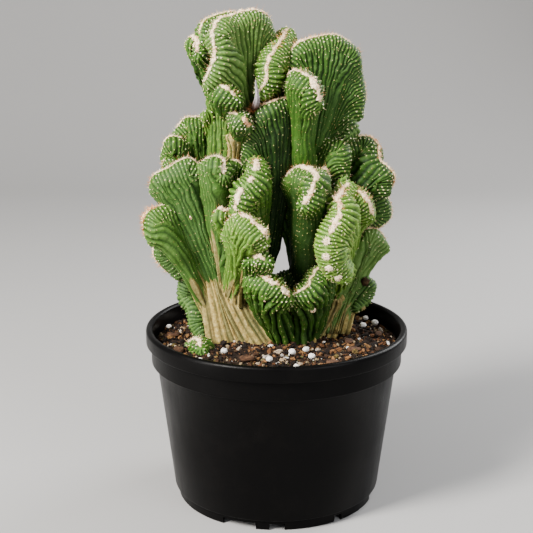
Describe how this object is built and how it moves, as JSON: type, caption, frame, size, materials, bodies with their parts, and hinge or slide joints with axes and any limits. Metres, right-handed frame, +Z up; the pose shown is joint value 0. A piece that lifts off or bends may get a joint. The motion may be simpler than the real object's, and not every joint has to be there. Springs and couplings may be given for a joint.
{
  "type": "potted cactus",
  "caption": "Crested cereus cactus, a cluster of ribbed fan-shaped lobes with woolly crests, growing in gritty soil in a black plastic nursery pot.",
  "frame": {"origin": "on the floor, on the axis of the pot", "axes": "+Z up, -Y towards the front of the plant, +X to its right as seen from the front"},
  "size_m": [0.155, 0.155, 0.2879],
  "materials": {
    "black_plastic": "satin",
    "potting_soil": "rough",
    "cactus_flesh": "waxy",
    "dried_flower": "papery",
    "perlite": "rough",
    "bark": "rough"
  },
  "bodies": {
    "root": {"nursery_pot": "black_plastic", "potting_soil": "potting_soil", "cactus": "cactus_flesh", "dried_flower": "dried_flower", "perlite_01": "perlite", "perlite_02": "perlite", "perlite_03": "perlite", "perlite_04": "perlite", "perlite_05": "perlite", "perlite_06": "perlite", "perlite_07": "perlite", "perlite_08": "perlite", "perlite_09": "perlite", "perlite_10": "perlite", "perlite_11": "perlite", "perlite_12": "perlite", "perlite_13": "perlite", "perlite_14": "perlite", "bark_chip_01": "bark", "bark_chip_02": "bark", "bark_chip_03": "bark", "bark_chip_04": "bark", "bark_chip_05": "bark", "bark_chip_06": "bark", "bark_chip_07": "bark", "bark_chip_08": "bark", "bark_chip_09": "bark", "bark_chip_10": "bark", "bark_chip_11": "bark", "bark_chip_12": "bark", "bark_chip_13": "bark", "bark_chip_14": "bark"}
  },
  "joints": []
}
